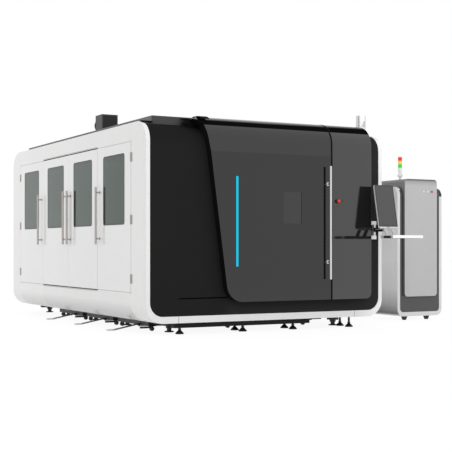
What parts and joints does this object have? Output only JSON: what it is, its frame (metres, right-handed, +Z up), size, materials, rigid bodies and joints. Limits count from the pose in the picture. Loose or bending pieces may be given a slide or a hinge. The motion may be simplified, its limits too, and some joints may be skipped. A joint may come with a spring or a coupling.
{
  "type": "enclosed fibre laser cutting machine",
  "caption": "Enclosed flat-bed laser cutting machine with folding side doors, a sliding front door, slatted bed, gantry, slag carts, swing console and separate control cabinet.",
  "frame": {"origin": "on the floor, under the middle of the whole machine's outer box", "axes": "+Y from the front door back along the cabin, +X to the operator's right towards the cabinet, +Z up"},
  "size_m": [4.4566, 5.216, 2.471],
  "materials": {
    "white_sheet": "smooth gloss white powder coat",
    "white_door": "high gloss white lacquer",
    "black_sheet": "satin black",
    "cap_black": "satin deep black",
    "door_grey": "satin dark grey",
    "cover_grey": "satin grey",
    "roof_grey": "satin grey",
    "frame_grey": "matt grey machine paint",
    "steel": "ground steel",
    "zinc": "zinc plated steel",
    "handle_steel": "polished stainless steel",
    "tinted_glass": "grey-green laser safety glazing",
    "dark_glass": "dark laser safety glazing",
    "led_blue": "lit cyan diffuser",
    "aluminium": "natural anodised",
    "black_plastic": "matt black",
    "red_plastic": "gloss red",
    "lamp_plastic": "translucent lamp lens",
    "lamp_white": "white lens",
    "light_grey_plastic": "light grey",
    "screen_grey": "satin grey",
    "panel_grey": "satin grey",
    "cover_silver": "light grey paint",
    "rubber": "matt black"
  },
  "bodies": {
    "machine": {"front_ring": "white_sheet", "front_fascia": "black_sheet", "left_front_post": "white_sheet", "left_rear_post": "white_sheet", "left_header": "white_sheet", "left_skirts": "white_sheet", "door_tracks": "zinc", "right_wall": "white_sheet", "rear_wall": "white_sheet", "roof": "roof_grey", "jamb_hinges": "zinc", "front_door_rail": "aluminium", "fixed_cover_skin": "cover_grey", "fixed_cover_frame": "cap_black", "e_stop_collar": "light_grey_plastic", "bed_frame": "frame_grey", "slat_frame": "frame_grey", "slats": "steel", "guide_rails": "steel", "base_frame": "frame_grey", "levelling_feet": "rubber", "roof_fan_box": "roof_grey", "roof_vent": "white_sheet", "console_bracket": "white_sheet", "cabinet_body": "white_sheet", "cabinet_panel": "panel_grey", "cabinet_cover": "cover_silver", "cabinet_lamps": "lamp_white", "cabinet_feet": "rubber", "tower_base": "light_grey_plastic", "tower_lamps": "lamp_plastic", "cable_duct": "white_sheet"},
    "leaf_1": {"door_leaf_1": "white_door", "door_window_1": "tinted_glass"},
    "leaf_2": {"door_leaf_2": "white_door", "door_window_2": "tinted_glass"},
    "leaf_3": {"door_leaf_3": "white_door", "door_window_3": "tinted_glass"},
    "leaf_4": {"door_leaf_4": "white_door", "door_window_4": "tinted_glass"},
    "front_door": {"front_door_skin": "door_grey", "front_door_window": "dark_glass", "front_door_led": "led_blue", "front_door_frame": "cap_black", "front_door_handle": "handle_steel", "front_door_hangers": "zinc"},
    "stop_button": {"e_stop_button": "red_plastic"},
    "gantry": {"gantry_beam": "aluminium"},
    "head_slide": {"head_carriage": "aluminium"},
    "head": {"cutting_head": "black_plastic"},
    "cart_1": {"slag_cart_1": "zinc"},
    "tow_1": {"tow_bar_1": "zinc"},
    "cart_2": {"slag_cart_2": "zinc"},
    "tow_2": {"tow_bar_2": "zinc"},
    "cart_3": {"slag_cart_3": "zinc"},
    "tow_3": {"tow_bar_3": "zinc"},
    "console": {"console_arm": "cap_black", "console_tray": "white_sheet"},
    "display": {"monitor": "screen_grey"},
    "start_button": {"cabinet_button": "red_plastic"}
  },
  "joints": [
    {"name": "leaf_1_hinge", "type": "hinge", "parent": "machine", "child": "leaf_1", "pos_m": [-2.16575, -1.555, 1.2245], "axis": [0, 0, 1], "range_deg": [0, 85]},
    {"name": "leaf_2_hinge", "type": "hinge", "parent": "leaf_1", "child": "leaf_2", "pos_m": [-2.12175, -0.599, 1.2245], "axis": [0, 0, 1], "range_deg": [-170, 0]},
    {"name": "leaf_4_hinge", "type": "hinge", "parent": "machine", "child": "leaf_4", "pos_m": [-2.16575, 2.269, 1.2245], "axis": [0, 0, 1], "range_deg": [-85, 0]},
    {"name": "leaf_3_hinge", "type": "hinge", "parent": "leaf_4", "child": "leaf_3", "pos_m": [-2.12175, 1.313, 1.2245], "axis": [0, 0, 1], "range_deg": [0, 170]},
    {"name": "front_door_slide", "type": "slide", "parent": "machine", "child": "front_door", "axis": [-1, 0, 0], "range_m": [0, 0.62]},
    {"name": "stop_press", "type": "slide", "parent": "machine", "child": "stop_button", "axis": [0, 1, 0], "range_m": [0, 0.005], "stiffness_N_per_m": 600},
    {"name": "gantry_travel", "type": "slide", "parent": "machine", "child": "gantry", "axis": [0, 1, 0], "range_m": [-1.2, 1.65]},
    {"name": "head_travel", "type": "slide", "parent": "gantry", "child": "head_slide", "axis": [1, 0, 0], "range_m": [-0.33, 1.24]},
    {"name": "focus_travel", "type": "slide", "parent": "head_slide", "child": "head", "axis": [0, 0, 1], "range_m": [0, 0.11]},
    {"name": "cart_1_roll", "type": "slide", "parent": "machine", "child": "cart_1", "axis": [-1, 0, 0], "range_m": [0, 1.9]},
    {"name": "tow_1_lift", "type": "hinge", "parent": "cart_1", "child": "tow_1", "pos_m": [-1.86575, -1.032, 0.062], "axis": [0, 1, 0], "range_deg": [0, 18]},
    {"name": "cart_2_roll", "type": "slide", "parent": "machine", "child": "cart_2", "axis": [-1, 0, 0], "range_m": [0, 1.9]},
    {"name": "tow_2_lift", "type": "hinge", "parent": "cart_2", "child": "tow_2", "pos_m": [-1.86575, -0.022, 0.062], "axis": [0, 1, 0], "range_deg": [0, 18]},
    {"name": "cart_3_roll", "type": "slide", "parent": "machine", "child": "cart_3", "axis": [-1, 0, 0], "range_m": [0, 1.9]},
    {"name": "tow_3_lift", "type": "hinge", "parent": "cart_3", "child": "tow_3", "pos_m": [-1.86575, 0.988, 0.062], "axis": [0, 1, 0], "range_deg": [0, 18]},
    {"name": "console_swing", "type": "hinge", "parent": "machine", "child": "console", "pos_m": [0.65225, -1.964, 1.105], "axis": [0, 0, 1], "range_deg": [-12, 80]},
    {"name": "display_tilt", "type": "hinge", "parent": "console", "child": "display", "pos_m": [0.61825, -2.271, 1.121], "axis": [1, 0, 0], "range_deg": [-10, 12]},
    {"name": "start_press", "type": "slide", "parent": "machine", "child": "start_button", "axis": [0, 1, 0], "range_m": [0, 0.004], "stiffness_N_per_m": 500}
  ],
  "couplings": [
    {"joint": "leaf_2_hinge", "follows": "leaf_1_hinge", "ratio": -2},
    {"joint": "leaf_3_hinge", "follows": "leaf_4_hinge", "ratio": -2}
  ]
}
